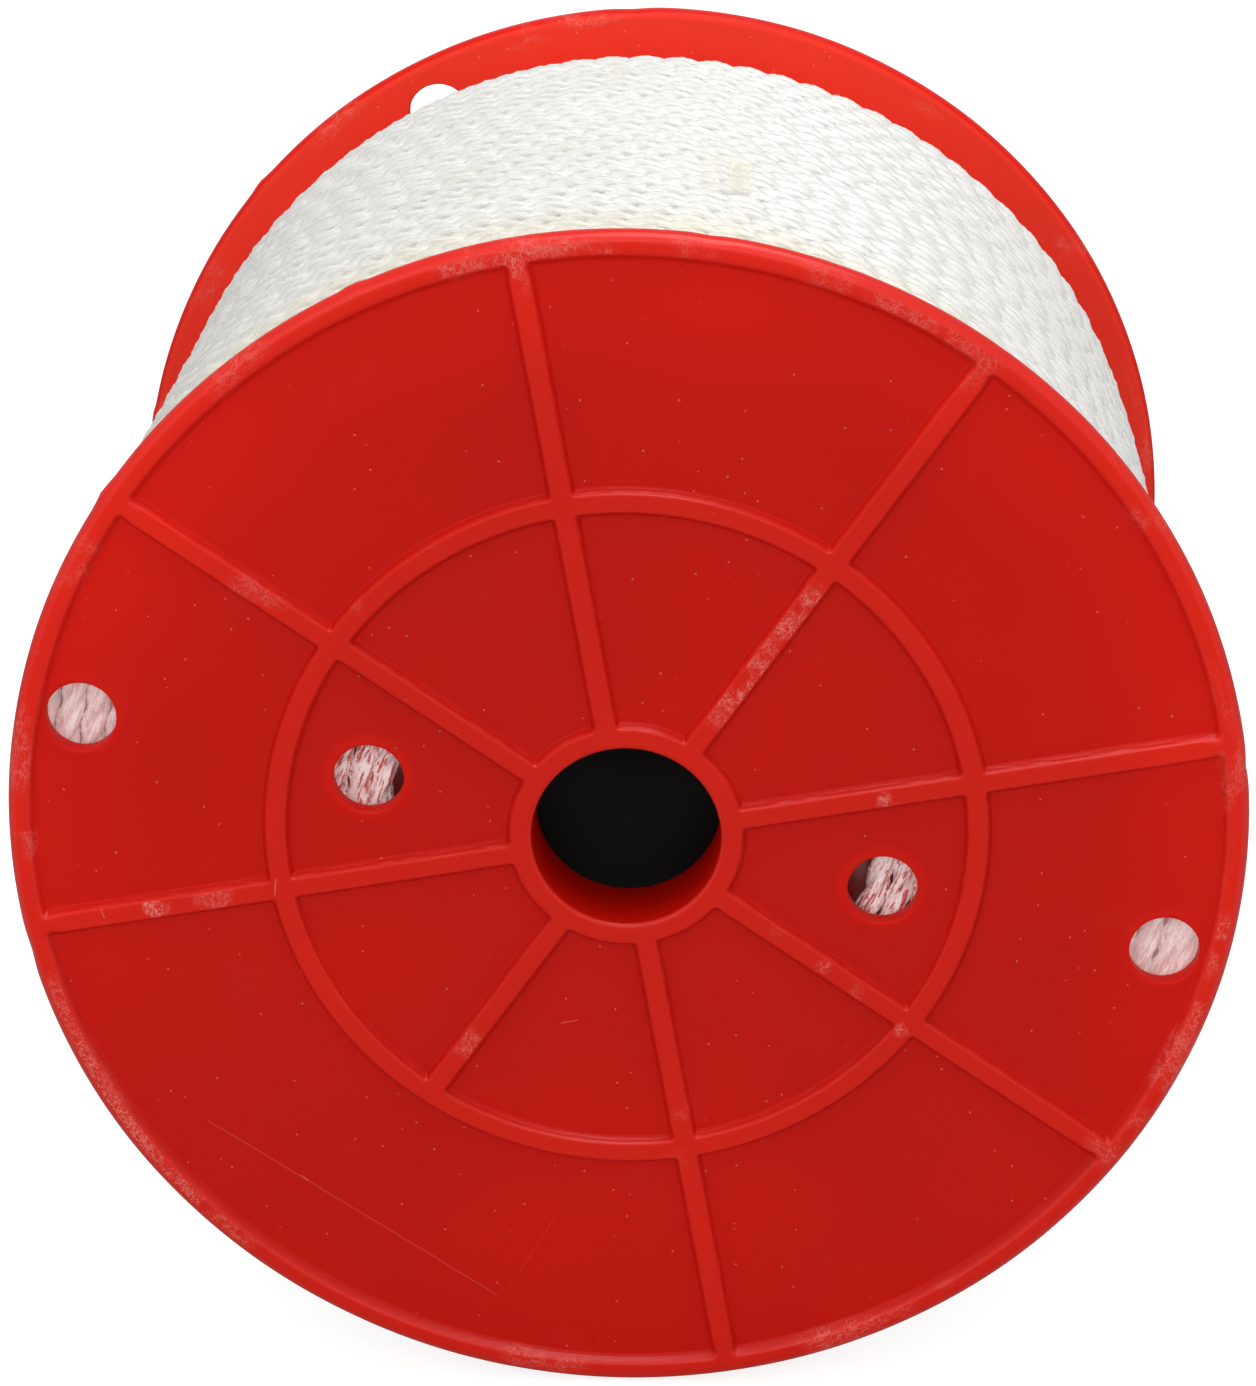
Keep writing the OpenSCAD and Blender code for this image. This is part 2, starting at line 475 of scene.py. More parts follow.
# Strength of rubbed patches: on flat plastic, on ribs and rings, and on the rim
FLAT_WEAR, RIB_WEAR, RIM_WEAR = 0.02, 0.35, 0.38

# Marks on the front flange's face, in millimetres to the right and up from the axis
# Scratches: start, end, width, how broken, strength
PLATE_SCRATCHES = (
    ((-36.5, -27.5), (-11.5, -44.3), 0.07, 0.25, 0.2),
    ((-28.5, -32.8), (-28.0, -33.2), 0.14, 0.0, 0.3),
    ((-6.29, -36.54), (-10.39, -43.71), 0.06, 0.35, 0.08),
    ((-5.6, -17.7), (-4.2, -17.4), 0.08, 0.0, 0.35),
)
RIB_SCRATCHES = (
    ((-42.2, -4.7), (-40.3, -5.9), 0.08, 0.0, 0.8),
    ((-29.8, -4.2), (-29.9, -5.6), 0.08, 0.0, 0.5),
    ((-44.9, -6.8), (-44.6, -7.9), 0.08, 0.0, 0.45),
)
# Rubbed spots on ribs, rings and rim: middle, radius, softness, strength
RUBS = (
    ((9.5, 13.4), 2.4, 2.0, 0.8),
    ((13.6, 19.5), 2.4, 2.2, 0.7),
    ((-40.1, -6.7), 0.9, 0.5, 1.0),
    ((-35.2, -5.6), 1.0, 1.2, 0.5),
    ((-13.4, 50.1), 1.6, 1.6, 0.6),
    ((-8.1, 51.1), 2.0, 2.2, 0.7),
    ((-3.3, 51.6), 1.8, 1.6, 0.6),
    ((22.7, 46.9), 2.0, 2.0, 0.5),
    ((27.2, 43.5), 2.2, 2.5, 0.4),
    ((-49.6, -16.6), 1.6, 2.6, 0.5),
    ((-47.6, -21.8), 1.9, 2.4, 0.7),
    ((-45.2, -26.4), 2.0, 2.4, 0.8),
    ((-42.3, -30.8), 2.0, 2.4, 0.8),
    ((-39.0, -34.9), 1.9, 2.2, 0.75),
    ((-35.4, -38.5), 1.4, 2.0, 0.5),
    ((22.1, 3.6), 0.6, 0.6, 0.9),
    ((12.8, -8.4), 0.2, 0.6, 0.6),
    ((16.9, -11.7), 0.2, 0.7, 0.6),
    ((23.6, -17.6), 0.3, 0.6, 0.7),
    ((-13.9, -19.3), 0.7, 1.2, 0.5),
    ((50.4, -9.4), 1.6, 2.2, 0.5),
    ((48.4, -17.5), 2.0, 2.6, 0.55),
    ((43.2, -27.8), 1.6, 2.4, 0.5),
)


def finish_skin(s, inputs, look, mm, base, marked, edge=0.0):
    """Dust, fine grain and slow waves over a moulded skin, paler and rougher where it is marked."""
    specks = s.effect(dust(), Vector=mm)["Mask"]
    coloured = s.mix(marked, base, rgba(look.scuff_colour))
    coloured = s.mix(s.times(specks, 0.4), coloured, rgba(look.dust_colour))
    s.fill(inputs["Base Color"], coloured)
    grain = s.noise(mm, 1.6, 3.0, 0.6)
    rough = s.plus(look.roughness, s.times(s.minus(grain, 0.5), 0.12), s.times(marked, 0.25))
    s.fill(inputs["Roughness"], s.minus(rough, s.times(edge, 0.08)))
    relief = s.plus(s.times(grain, 0.004), s.times(s.noise(mm, 0.12), 0.05))
    relief = s.plus(s.minus(relief, s.times(marked, 0.02)), s.times(specks, 0.01))
    s.fill(inputs["Normal"], s.bump(relief, 0.6, MM))


def slow_drift(s, mm, colour):
    """A colour whose tone drifts slowly over the moulding."""
    return s.scaled(colour, s.range(s.noise(mm, 0.035), 0.3, 0.7, 0.93, 1.04, smooth=False))


def face_scuffs(s, mm, look):
    """Rubbed patches on flat faces."""
    return s.effect(scuffs(), Vector=mm, Patch_Scale=0.11, Coverage=look.wear * 0.6)


def core_plastic(look):
    """Plastic of the core tube, seen only through the bore: painted near-black, as the shade deep
    inside the bore.
    """
    material, s, inputs = new_material(
        "core_plastic", IOR=1.49, Specular_IOR_Level=0.026, Specular_Tint=(1.0, 0.5, 0.45, 1.0),
    )
    mm = s.place()
    marked = s.times(face_scuffs(s, mm, look)["Mask"], FLAT_WEAR)
    finish_skin(s, inputs, look, mm, slow_drift(s, mm, look.core[:]), marked)
    return material


def flange_plastic(name, look, front):
    """Satin moulded plastic, rubbed pale along its raised parts, with scratches and dust."""
    material, s, inputs = new_material(name, IOR=1.49, Specular_IOR_Level=look.gloss)
    mm = s.place()
    here = s.effect(reel_place(), Vector=mm, Plate=(HALF_WIDTH - look.relief) / MM)
    height, radius = here["Height"], here["Radius"]
    raised = s.range(height, *SIDE)
    # painted light: the inner faces take the brighter inner colour, for light from above and off
    # the white cord
    inner_face_lit = s.times(s.range(height, -1.2, -1.5), s.range(radius, 9.5, 10.0))
    skin = s.mix(raised, rgba(look.plastic), rgba(look.rubbed))
    base = slow_drift(s, mm, s.mix(inner_face_lit, skin, rgba(look.inner)))
    # painted light: the colour is brightened where light would come through thin plastic: towards
    # the rim on the upper part, and round the holes
    lit = s.times(s.range(radius, 38.0, 50.0), s.range(s.split(mm)[2], -40.0, 5.0))
    if front:
        for place in hole_centres(look):
            near = s.effect(spot(), Vector=mm, Centre=place, Radius=3.0, Softness=1.6)["Mask"]
            lit = s.most(lit, near)
    base = s.scaled(base, s.plus(1.0, s.times(lit, look.thin_glow)))
    # rubbed marks run round the rim and along the ribs
    ring_place = s.joined(s.times(here["Round"], 0.45), radius)
    round_rim = s.effect(scuffs(), Vector=ring_place, Patch_Scale=0.16, Coverage=look.wear + 0.1)
    on_face = face_scuffs(s, mm, look)
    on_rim = s.times(round_rim["Mask"], s.range(radius, *RIM), RIM_WEAR)
    on_ribs = s.times(on_face["Mask"], s.range(raised, 0.0, 1.0, FLAT_WEAR, RIB_WEAR))
    marked = s.most(on_rim, on_ribs)
    if front:
        marked = s.most(marked, face_marks(s, look, mm, on_face["Marks"], s.range(height, *CREST)))
    edge = s.times(s.range(height, *FOOT), s.range(height, *CREST[::-1]))
    finish_skin(s, inputs, look, mm, base, marked, edge)
    # the bore's wall lies in shade and shows no gloss
    in_bore = s.times(s.range(radius, *BORE), s.range(height, 0.5, 0.1))
    gloss = s.plus(look.gloss, s.times(edge, look.edge_gloss))
    s.fill(inputs["Specular IOR Level"], s.times(s.minus(1.0, in_bore), gloss))
    return material


def face_marks(s, look, mm, streaks, crest):
    """Scratches and rubbed spots at their places on the front flange's face."""
    plate, top = -(HALF_WIDTH - look.relief) / MM, -HALF_WIDTH / MM
    marks = []
    for depth, rows in ((plate, PLATE_SCRATCHES), (top, RIB_SCRATCHES)):
        for (x, z), (end_x, end_z), width, broken, strength in rows:
            line = s.effect(
                scratch(), Vector=mm, Start=(x, depth, z), End=(end_x, depth, end_z),
                Width=width, Breakup=broken,
            )
            marks.append(s.times(line["Mask"], strength))
    for (x, z), radius, softness, strength in RUBS:
        area = s.effect(spot(), Vector=mm, Centre=(x, top, z), Radius=radius, Softness=softness)
        marks.append(s.times(area["Mask"], streaks, crest, 0.9 * strength))
    return s.most(*marks)


def hole_centres(look):
    """Centres of the front flange's holes on its plate, in millimetres in the reel's frame."""
    ray = Vector((math.cos(look.front_turn), 0.0, math.sin(look.front_turn)))
    down = Vector((0.0, -(HALF_WIDTH - look.relief), 0.0))
    return [tuple((ray * away + down) / MM) for away in hole_distances(look)]


def laid_string(name, look):
    """White multifilament cord: fine filaments run along each strand."""
    material, s, inputs = new_material(
        name, Specular_IOR_Level=0.75, Sheen_Weight=0.25, Sheen_Roughness=0.4,
    )
    flow = s.node("ShaderNodeAttribute", attribute_name="strand_flow", attribute_type="GEOMETRY")
    flow = flow.outputs["Vector"]
    place = s.place()
    along = s.split(place)[1]
    filaments = s.noise(flow, 5.0, 3.0, 0.6)
    stain = s.noise(place, 0.12)
    # yellowed in patches; near the front flange the same cream colour is painted shade, where the
    # turns fall towards the flange
    aged = s.most(s.range(stain, 0.5, 0.8, 0.0, 0.35), s.range(along, -24.0, -31.0))
    colour = s.mix(aged, rgba(look.white), rgba(look.aged))
    # painted light and shade: red light reflected from the flanges, and dark shade in the gaps
    # between the turns, stronger towards the axis
    end = STRING_HALF / MM
    by_flange = s.range(s.math("ABSOLUTE", along), end - 3.2, end - 2.6)
    off_axis = s.minus(s.vector("DOT_PRODUCT", place, place), s.times(along, along))
    deep = s.range(s.math("SQRT", off_axis), 46.0, 30.0, 0.35, 1.0)
    under = s.math("LESS_THAN", s.vector("LENGTH", flow), 0.001)
    streaks = s.most(s.range(s.noise(flow, 1.3, 3.0, 0.6), 0.47, 0.62), under)
    against = s.mix(s.times(streaks, deep), rgba(look.flange_red_light), rgba(look.red_glow))
    against = s.mix(s.times(under, deep), against, rgba(look.gap))
    tone = s.plus(s.range(filaments, 0.3, 0.7, 0.93, 1.0), s.range(stain, 0.35, 0.7, 0.0, -0.04))
    tinted = s.scaled(s.mix(by_flange, colour, against), tone)
    s.fill(inputs["Base Color"], tinted)
    # painted glow: the end turns give off their own colour, for light that reaches them through the
    # flange
    s.fill(inputs["Emission Color"], tinted)
    s.fill(inputs["Emission Strength"], s.times(by_flange, look.end_light))
    rough = s.range(filaments, 0.2, 0.8, look.roughness + 0.08, look.roughness - 0.06)
    s.fill(inputs["Roughness"], rough)
    yarns = s.range(s.noise(flow, 1.6), 0.38, 0.62)
    s.fill(inputs["Normal"], s.bump(s.plus(s.times(filaments, 0.5), yarns), 0.45, 0.1 * MM))
    return material


def clear_tape(name, look):
    """Thin clear tape, yellowed and clouded, folded double at its right-hand end."""
    material, s, inputs = new_material(name, IOR=1.47)
    place = s.place()
    cloud = s.noise(place, 0.6, 3.0, 0.6)
    clouded = s.range(cloud, 0.3, 0.7)
    s.fill(inputs["Base Color"], s.mix(clouded, rgba(look.yellow), rgba(look.pale)))
    s.fill(inputs["Roughness"], s.range(cloud, 0.3, 0.7, 0.22, 0.38))
    right = TAPE_HIGH.x / MM
    fold = s.range(s.split(place)[0], right - 1.9, right - 1.6, look.opacity, look.doubled)
    s.fill(inputs["Alpha"], s.times(fold, s.range(cloud, 0.3, 0.7, 1.2, 0.8)))
    s.fill(inputs["Normal"], s.bump(s.noise(place, 1.4), 0.4, 0.1 * MM))
    return material


# ---------------------------------------------------------------- mesh helpers


def circle(radius, count, centre=(0.0, 0.0)):
    """Points of a circle, counter-clockwise."""
    a = np.arange(count) * 2 * math.pi / count
    return np.c_[centre[0] + radius * np.cos(a), centre[1] + radius * np.sin(a)]


def smoothstep(x, low, high):
    """0 below low, 1 above high, smooth between."""
    t = np.clip((x - low) / (high - low), 0.0, 1.0)
    return t * t * (3 - 2 * t)


def fillet_run(angle, side, arc_radius, outside, half_rib, corner, steps):
    """The rounded corner between a rib's side and an arc: its points and inward normals."""
    away = arc_radius + corner if outside else arc_radius - corner
    off = side * (half_rib + corner)
    along = math.sqrt(away * away - off * off)
    centre = np.array([
        along * math.cos(angle) - off * math.sin(angle),
        along * math.sin(angle) + off * math.cos(angle),
    ])
    to_arc = math.atan2(centre[1], centre[0]) + (math.pi if outside else 0.0)
    to_line = angle - side * math.pi / 2
    start, end = (to_arc, to_line) if (outside == (side > 0)) else (to_line, to_arc)
    while end < start:
        end += 2 * math.pi
    while end - start > 2 * math.pi:
        end -= 2 * math.pi
    a = np.linspace(start, end, steps + 1)
    spread = np.c_[np.cos(a), np.sin(a)]
    return centre + corner * spread, -spread


def pocket(low_rib, high_rib, inner, outer, half_rib, corner, step, steps):
    """Outline of one pocket between two ribs and two rings: points and inward normals."""

    def line(first, last, normal):
        count = max(1, int(np.linalg.norm(last - first) / step))
        t = (np.arange(1, count) / count)[:, None]
        return first + (last - first) * t, np.repeat(normal[None, :], count - 1, 0)

    def arc(first, last, radius, inward):
        a0, a1 = math.atan2(first[1], first[0]), math.atan2(last[1], last[0])
        if inward < 0:
            while a1 < a0:
                a1 += 2 * math.pi
        else:
            while a1 > a0:
                a1 -= 2 * math.pi
        count = max(2, int(abs(a1 - a0) * radius / step))
        a = a0 + (a1 - a0) * np.arange(1, count) / count
        ray = np.c_[np.cos(a), np.sin(a)]
        return radius * ray, inward * ray

    side_normal = [
        np.array([-math.sin(low_rib), math.cos(low_rib)]),
        np.array([math.sin(high_rib), -math.cos(high_rib)]),
    ]
    c1 = fillet_run(low_rib, 1, inner, True, half_rib, corner, steps)
    c2 = fillet_run(low_rib, 1, outer, False, half_rib, corner, steps)
    c3 = fillet_run(high_rib, -1, outer, False, half_rib, corner, steps)
    c4 = fillet_run(high_rib, -1, inner, True, half_rib, corner, steps)
    runs = [
        c1, line(c1[0][-1], c2[0][0], side_normal[0]),
        c2, arc(c2[0][-1], c3[0][0], outer, -1.0),
        c3, line(c3[0][-1], c4[0][0], side_normal[1]),
        c4, arc(c4[0][-1], c1[0][0], inner, 1.0),
    ]
    return np.concatenate([r[0] for r in runs]), np.concatenate([r[1] for r in runs])


def plan_mesh(loops, keep):
    """Triangles between closed loops in a plane, where keep says that a place belongs."""
    verts, edges = [], []
    for loop in loops:
        first, count = len(verts), len(loop)
        verts.extend(Vector(p) for p in loop)
        edges.extend((first + i, first + (i + 1) % count) for i in range(count))
    flat, _, faces, *_ = geometry.delaunay_2d_cdt(verts, edges, [], 0, 1e-6)
    flat = np.array([v[:] for v in flat])
    faces = np.array([f[:] for f in faces if len(f) == 3])
    faces = faces[keep(flat[faces].mean(axis=1))]
    a, b, c = (flat[faces[:, i]] for i in range(3))
    turned = (b[:, 0] - a[:, 0]) * (c[:, 1] - a[:, 1]) - (b[:, 1] - a[:, 1]) * (c[:, 0] - a[:, 0])
    faces[turned < 0] = faces[turned < 0][:, ::-1]
    return flat, faces


class Shell:
    """Collects vertices and faces of one closed mesh."""

    def __init__(self):
        self.verts, self.faces, self.count = [], [], 0

    def add(self, points, faces):
        """Points and faces, numbered from 0 within this lot."""
        points = np.asarray(points, float)
        self.verts.append(points)
        self.faces.extend(tuple(int(i) + self.count for i in f) for f in faces)
        self.count += len(points)

    def lathe(self, profile, count, centre=(0.0, 0.0), wobble=None):
        """Strips round Z through (radius, height) stations, each facing left of travel."""
        rings = [
            np.c_[circle(radius, count, centre), np.broadcast_to(height, count)]
            for radius, height in profile
        ]
        if wobble is not None:
            rings = [wobble(ring) for ring in rings]
        faces = []
        for low in range(0, (len(rings) - 1) * count, count):
            for i in range(count):
                j = (i + 1) % count
                faces.append((low + i, low + j, low + count + j, low + count + i))
        self.add(np.concatenate(rings), faces)

    def mesh(self, name, place, tolerance=1e-4, sharp=40.0):
        """A Blender mesh in metres, with doubles merged and faces outwards."""
        points = np.concatenate(self.verts)
        mesh = bpy.data.meshes.new(name)
        mesh.from_pydata(points.tolist(), [], self.faces)
        work = bmesh.new()
        work.from_mesh(mesh)
        bmesh.ops.remove_doubles(work, verts=work.verts, dist=tolerance)
        bmesh.ops.recalc_face_normals(work, faces=work.faces)
        work.to_mesh(mesh)
        work.free()
        mesh.transform(place)
        mesh.shade_smooth()
        mesh.set_sharp_from_angle(angle=math.radians(sharp))
        mesh.update()
        return mesh


def new_piece(name, mesh, material, replaces):
    """An object at the origin that rides on the reel's one body."""
    made = bpy.data.objects.new(name, mesh)
    bpy.context.scene.collection.objects.link(made)
    if material is not None:
        mesh.materials.clear()
        mesh.materials.append(material)
    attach(made, BODY)
    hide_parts(*replaces)


# ---------------------------------------------------------------- flanges

RIM_SEGMENTS = 360
BORE_SEGMENTS = 96
HOLE_SEGMENTS = 40
WEB_COUNT = 4
# Distances inside a pocket's edge, and outside the rim's inner edge, at which rings of points lie
POCKET_STATIONS = (
    -0.8, -0.6, -0.46, -0.36, -0.3, -0.24, -0.18, -0.12, -0.06,
    0.0, 0.06, 0.12, 0.18, 0.23, 0.28, 0.36,
)
RIM_STATIONS = (0.86, 1.0, 1.1)
# Lip round a hole: distance from the hole's edge, and share of the lip's height
LIP_STATIONS = ((0.14, 0.85), (0.28, 1.0), (0.5, 0.8), (0.8, 0.3), (1.1, 0.0), (1.2, 0.0))
# How far the foot of each sloping side runs into its pocket
TOE = 0.28
# Rounding of the bore's mouth, of the holes' inner edges, and lead of the socket ring
MOUTH_ROUND = 0.45
HOLE_ROUND = 0.12
SPIGOT_LEAD = 0.6
# Spacing of points along a pocket and steps round its corners: for measuring, and for the mesh
FINE = (0.12, 20)
COARSE = (1.1, 6)

# Dents in the rim, in a flange's own angles: place and width in degrees, depth in millimetres
RIM_DENTS = (
    (127.5, 0.7, 0.22), (157.8, 1.1, 0.18), (205.0, 1.6, -0.12), (95.0, 1.2, -0.1),
    (20.0, 1.0, -0.12),
)


def quarter(radius, centre_a, centre_b, start, end, steps=7):
    """Stations of a rounded edge, by angle in degrees."""
    a = np.radians(np.linspace(start, end, steps + 1))
    return [(centre_a + radius * math.cos(t), centre_b + radius * math.sin(t)) for t in a]


def hole_distances(look):
    """Distances of a flange's four holes along its line of holes, in metres."""
    return [side * away for side in (-1, 1) for away in (look.inner_hole, look.outer_hole)]


def relief_profiles(look):
    """Heights against distance inside a pocket's edge, at a rib and at the rim; plate and top."""
    top = FLANGE_THICKNESS / MM
    floor = top - look.relief / MM
    t = np.linspace(0, 1, 25)
    fall = (top - floor) * t * t * (3 - 2 * t)
    rib, rim = (
        np.array([(-9.0, top), *zip(TOE - side / MM * (1 - t), top - fall), (9.0, floor)])
        for side in (look.rib_side, look.rim_side)
    )
    return rib, rim, floor, top


def pocket_outlines(look, rim_in):
    """A function that gives each pocket's outline and inward normals, as fine as it is told."""
    ring_in = (look.ring_radius - look.ring_width / 2) / MM
    ring_out = (look.ring_radius + look.ring_width / 2) / MM
    hub_out = (BORE_RADIUS + look.hub_ring) / MM
    half_rib, corner = look.rib_width / MM / 2, look.corner_round / MM
    step = 2 * math.pi / look.rib_count
    ribs = [step / 2 + i * step for i in range(look.rib_count)]
    short = look.rib_count * 5 // 8
    long_ribs = [r for i, r in enumerate(ribs) if i != short]
    areas = [
        (angle, row[(i + 1) % len(row)], low, high)
        for row, low, high in ((ribs, hub_out, ring_in), (long_ribs, ring_out, rim_in))
        for i, angle in enumerate(row)
    ]

    def outlines(spacing, steps):
        return [pocket(*area, half_rib, corner, spacing, steps) for area in areas]

    return outlines


def between(low, high, holes, hole_radius):
    """A function that says which places lie between two circles and outside the holes."""

    def keep(points):
        radius = np.hypot(points[:, 0], points[:, 1])
        kept = (radius < high) & (radius > low * 0.9995)
        for x, y in holes:
            kept &= np.hypot(points[:, 0] - x, points[:, 1] - y) > hole_radius * 0.998
        return kept

    return keep


def face_height(look, outlines, rim_in, holes):
    """A function that gives the height of the ribbed face at places in plan."""
    rib, rim, floor, _ = relief_profiles(look)
    edges, normals = (np.concatenate(lot) for lot in zip(*outlines(*FINE)))
    tree = kdtree.KDTree(len(edges))
    for i, p in enumerate(edges):
        tree.insert((p[0], p[1], 0.0), i)
    tree.balance()
    lip = np.array(((0.0, LIP_STATIONS[0][1]), *LIP_STATIONS)) * (1.0, look.lip_height / MM)

    def height(points):
        depth = np.empty(len(points))
        for i, p in enumerate(points):
            q, index, away = tree.find((p[0], p[1], 0.0))
            inside = (p[0] - q[0]) * normals[index][0] + (p[1] - q[1]) * normals[index][1]
            depth[i] = math.copysign(away, inside)
        radius = np.hypot(points[:, 0], points[:, 1])
        at_rim = smoothstep(radius, rim_in - 1.0, rim_in - 0.3)
        z = np.interp(depth, *rib.T) * (1 - at_rim) + np.interp(depth, *rim.T) * at_rim
        for x, y in holes:
            away = np.hypot(points[:, 0] - x, points[:, 1] - y) - look.hole_radius / MM
            z = np.maximum(z, floor + np.interp(away, *lip.T, right=0.0))
        return z

    return height


def flange_shell(look):
    """A flange in millimetres: inner face on z = 0, ribbed face towards +Z, holes along X."""
    top, bore, outside = FLANGE_THICKNESS / MM, BORE_RADIUS / MM, FLANGE_RADIUS / MM
    rim_in = (FLANGE_RADIUS - look.rim_width) / MM
    rim_round = look.rim_round / MM
    rim_top, mouth = outside - rim_round, bore + MOUTH_ROUND
    hole, spigot = look.hole_radius / MM, look.spigot_radius / MM
    hole_top, hole_low = hole + LIP_STATIONS[0][0], hole + HOLE_ROUND
    holes = [(away / MM, 0.0) for away in hole_distances(look)]
    outlines = pocket_outlines(look, rim_in)
    height = face_height(look, outlines, rim_in, holes)
    shell = Shell()

    # ribbed face
    loops = [circle(r, RIM_SEGMENTS) for r in (rim_top, rim_top - 0.12)]
    loops += [circle(r, BORE_SEGMENTS) for r in (mouth, mouth + 0.1)]
    loops += [circle(rim_in + d, RIM_SEGMENTS) for d in RIM_STATIONS if rim_in + d < rim_top - 0.15]
    loops += [points + inward * d for points, inward in outlines(*COARSE) for d in POCKET_STATIONS]
    loops += [circle(hole + d, HOLE_SEGMENTS, place) for place in holes for d, _ in LIP_STATIONS]
    flat, faces = plan_mesh(loops, between(mouth, rim_top, holes, hole_top))
    shell.add(np.c_[flat, height(flat)], faces)

    # rolled rim, outside and round to the inner face
    profile = quarter(rim_round, rim_top, top - rim_round, 90, 0)
    profile += quarter(rim_round, rim_top, rim_round, 0, -90)
    shell.lathe(profile[::-1], RIM_SEGMENTS, wobble=rim_nicks)

    # inner face with its holes
    loops = [circle(rim_top, RIM_SEGMENTS), circle(spigot, BORE_SEGMENTS)]
    loops += [circle(hole_low, HOLE_SEGMENTS, place) for place in holes]
    flat, faces = plan_mesh(loops, between(spigot, rim_top, holes, hole_low))
    shell.add(np.c_[flat, np.zeros(len(flat))], [f[::-1] for f in faces])

    # walls of the holes
    for place in holes:
        lip = height(circle(hole_top, HOLE_SEGMENTS, place))
        stations = [(hole_low, 0.0), (hole, 0.14), (hole, lip - 0.16), (hole + 0.04, lip - 0.06)]
        shell.lathe(stations + [(hole_top, lip)], HOLE_SEGMENTS, place)

    # socket ring, plate behind it, sleeve and bore, up to the rounded mouth of the hub ring
    socket, sleeve = spigot - look.spigot_wall / MM, bore + look.sleeve_wall / MM
    spigot_low, sleeve_low = -HUB_DEPTH / MM, (FLANGE_THICKNESS - look.sleeve_depth) / MM
    stations = [
        (spigot, 0.0), (spigot, spigot_low + SPIGOT_LEAD), (spigot - SPIGOT_LEAD, spigot_low),
        (socket, spigot_low), (socket, 0.0), (sleeve, 0.0), (sleeve, sleeve_low + 0.2),
        (sleeve - 0.2, sleeve_low), (bore + 0.25, sleeve_low), (bore + 0.08, sleeve_low + 0.08),
        (bore, sleeve_low + 0.25),
    ]
    stations += quarter(MOUTH_ROUND, mouth, top - MOUTH_ROUND, 180, 90)
    shell.lathe(stations, BORE_SEGMENTS)

    # webs between sleeve and socket ring
    half = look.web_thickness / MM / 2
    start, end = (bore + sleeve) / 2, (socket + spigot) / 2
    for i in range(WEB_COUNT):
        angle = 2 * math.pi * i / WEB_COUNT
        ray = np.array([math.cos(angle), math.sin(angle)])
        side = np.array([-ray[1], ray[0]])
        corners = [
            (*(ray * r + side * w), z) for z in (sleeve_low, 0.02)
            for r, w in ((start, -half), (end, -half), (end, half), (start, half))
        ]
        walls = [(j, (j + 1) % 4, (j + 1) % 4 + 4, j + 4) for j in range(4)]
        shell.add(corners, [(3, 2, 1, 0), (4, 5, 6, 7)] + walls)
    return shell


def rim_nicks(ring):
    """Small dents and raised burrs along the rim's outer corner."""
    angle = np.arctan2(ring[:, 1], ring[:, 0])
    radius = np.hypot(ring[:, 0], ring[:, 1])
    strength = smoothstep(radius, FLANGE_RADIUS / MM - 0.9, FLANGE_RADIUS / MM - 0.2)
    push = 0.012 * np.sin(angle * 7 + 0.4) + 0.008 * np.sin(angle * 19 + 2.0) - 0.02
    for place, width, depth in RIM_DENTS:
        away = (angle - math.radians(place) + math.pi) % (2 * math.pi) - math.pi
        push = push + depth * np.exp(-((away / math.radians(width)) ** 2))
    factor = 1 + push * strength / radius
    return np.c_[ring[:, 0] * factor, ring[:, 1] * factor, ring[:, 2]]


def flange_place(front):
    """From a flange's own axes to the reel's."""
    settings = bpy.context.scene.string_reel_flange
    side = -1 if front else 1
    spin = settings.front_turn if front else settings.rear_turn
    turned = Matrix.Rotation(math.radians(-90.0 * side), 4, "X") @ Matrix.Rotation(spin, 4, "Z")
    return Matrix.Translation((0, side * CORE_HALF, 0)) @ turned @ Matrix.Scale(MM, 4)


class STRINGREEL_OT_flanges(Operator):
    """Moulds both flanges: ribs, rings, rolled rim, holes, hub sleeve and socket ring"""

    bl_idname = "string_reel.flanges"
    bl_label = "Flanges"

    def execute(self, context):
        look = context.scene.string_reel_flange
        shell = flange_shell(look)
        for name, front in (("front_flange", True), ("rear_flange", False)):
            mesh = shell.mesh(name + "_moulding", flange_place(front))
            material = flange_plastic(name + "_plastic", look, front)
            new_piece(name + "_moulding", mesh, material, [name])
        return {"FINISHED"}


class STRINGREEL_OT_core(Operator):
    """Finishes the core tube"""

    bl_idname = "string_reel.core"
    bl_label = "Core tube"

    def execute(self, context):
        tube = frame["nodes"]["core_tube"]
        tube.data.materials.clear()
        tube.data.materials.append(core_plastic(context.scene.string_reel_flange))
        return {"FINISHED"}


# ---------------------------------------------------------------- string

# Points on the outline of the cord, seen end on, and the angle that one strand takes up
OUTLINE_POINTS = 18
STRAND = math.radians(120.0)
# Steps in one turn of the outermost turns, and of the turns against a flange
TURN_STEPS = 240
END_STEPS = 200
# How far the turns stand out at the left and right, and more at the right near the front
LEFT_BULGE, RIGHT_BULGE, LAST_BULGE = 1.95, -0.45, 0.95
# Slow waves in the winding: seed, count, and fewest and most times round
SWAY_WAVES = (5, 5, 1, 4)
RISE_WAVES = (9, 6, 1, 5)
# Room between the core and the cord, and between the end turns and a flange
CORE_ROOM, FLANGE_ROOM = 0.1, 0.05
# Inner layers: how far they stop short of a flange, their depth under the turns, their ridges
LAYERS_SHORT, LAYERS_DEEP, RIDGE = 2.4, 0.75, 0.35
# From a mesh made round Z to the reel's axis
ONTO_AXIS = Matrix.Rotation(math.radians(-90.0), 4, "X")


